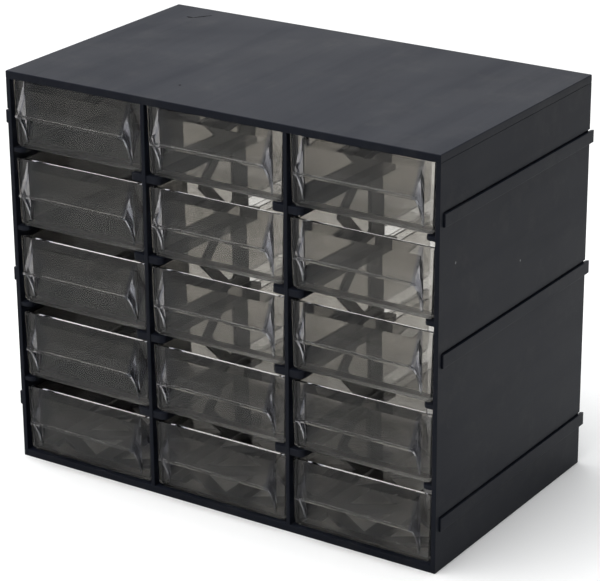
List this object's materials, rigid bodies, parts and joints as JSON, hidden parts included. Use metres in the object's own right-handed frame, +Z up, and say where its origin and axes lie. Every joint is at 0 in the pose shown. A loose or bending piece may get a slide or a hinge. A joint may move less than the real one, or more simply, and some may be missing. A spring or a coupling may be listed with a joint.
{
  "type": "parts bin cabinet",
  "caption": "Small-parts cabinet: a dark moulded plastic case with an open back and clear slide-out bins with sloping pull lips.",
  "frame": {"origin": "on the surface the cabinet stands on, under the centre of its bounding box with every drawer as stored", "axes": "+X across the front to the right as seen from the front, +Y towards the back, +Z up; drawers pull out along -Y"},
  "size_m": [0.3024, 0.187, 0.2525],
  "materials": {
    "case_plastic": "satin, fine moulded texture",
    "drawer_plastic": "clear, slightly smoky, glossy"
  },
  "bodies": {
    "case": {"base": "case_plastic", "left_side": "case_plastic", "right_side": "case_plastic", "partition_1": "case_plastic", "partition_2": "case_plastic", "top_cover": "case_plastic"},
    "drawer_c1_r1": {"drawer_c1_r1": "drawer_plastic"},
    "drawer_c1_r2": {"drawer_c1_r2": "drawer_plastic"},
    "drawer_c1_r3": {"drawer_c1_r3": "drawer_plastic"},
    "drawer_c1_r4": {"drawer_c1_r4": "drawer_plastic"},
    "drawer_c1_r5": {"drawer_c1_r5": "drawer_plastic"},
    "drawer_c2_r1": {"drawer_c2_r1": "drawer_plastic"},
    "drawer_c2_r2": {"drawer_c2_r2": "drawer_plastic"},
    "drawer_c2_r3": {"drawer_c2_r3": "drawer_plastic"},
    "drawer_c2_r4": {"drawer_c2_r4": "drawer_plastic"},
    "drawer_c2_r5": {"drawer_c2_r5": "drawer_plastic"},
    "drawer_c3_r1": {"drawer_c3_r1": "drawer_plastic"},
    "drawer_c3_r2": {"drawer_c3_r2": "drawer_plastic"},
    "drawer_c3_r3": {"drawer_c3_r3": "drawer_plastic"},
    "drawer_c3_r4": {"drawer_c3_r4": "drawer_plastic"},
    "drawer_c3_r5": {"drawer_c3_r5": "drawer_plastic"}
  },
  "joints": [
    {"name": "slide_c1_r1", "type": "slide", "parent": "case", "child": "drawer_c1_r1", "axis": [0, -1, 0], "range_m": [0, 0.125]},
    {"name": "slide_c1_r2", "type": "slide", "parent": "case", "child": "drawer_c1_r2", "axis": [0, -1, 0], "range_m": [0, 0.125]},
    {"name": "slide_c1_r3", "type": "slide", "parent": "case", "child": "drawer_c1_r3", "axis": [0, -1, 0], "range_m": [0, 0.125]},
    {"name": "slide_c1_r4", "type": "slide", "parent": "case", "child": "drawer_c1_r4", "axis": [0, -1, 0], "range_m": [0, 0.125]},
    {"name": "slide_c1_r5", "type": "slide", "parent": "case", "child": "drawer_c1_r5", "axis": [0, -1, 0], "range_m": [0, 0.125]},
    {"name": "slide_c2_r1", "type": "slide", "parent": "case", "child": "drawer_c2_r1", "axis": [0, -1, 0], "range_m": [0, 0.125]},
    {"name": "slide_c2_r2", "type": "slide", "parent": "case", "child": "drawer_c2_r2", "axis": [0, -1, 0], "range_m": [0, 0.125]},
    {"name": "slide_c2_r3", "type": "slide", "parent": "case", "child": "drawer_c2_r3", "axis": [0, -1, 0], "range_m": [0, 0.125]},
    {"name": "slide_c2_r4", "type": "slide", "parent": "case", "child": "drawer_c2_r4", "axis": [0, -1, 0], "range_m": [0, 0.125]},
    {"name": "slide_c2_r5", "type": "slide", "parent": "case", "child": "drawer_c2_r5", "axis": [0, -1, 0], "range_m": [0, 0.125]},
    {"name": "slide_c3_r1", "type": "slide", "parent": "case", "child": "drawer_c3_r1", "axis": [0, -1, 0], "range_m": [0, 0.125]},
    {"name": "slide_c3_r2", "type": "slide", "parent": "case", "child": "drawer_c3_r2", "axis": [0, -1, 0], "range_m": [0, 0.125]},
    {"name": "slide_c3_r3", "type": "slide", "parent": "case", "child": "drawer_c3_r3", "axis": [0, -1, 0], "range_m": [0, 0.125]},
    {"name": "slide_c3_r4", "type": "slide", "parent": "case", "child": "drawer_c3_r4", "axis": [0, -1, 0], "range_m": [0, 0.125]},
    {"name": "slide_c3_r5", "type": "slide", "parent": "case", "child": "drawer_c3_r5", "axis": [0, -1, 0], "range_m": [0, 0.125]}
  ]
}
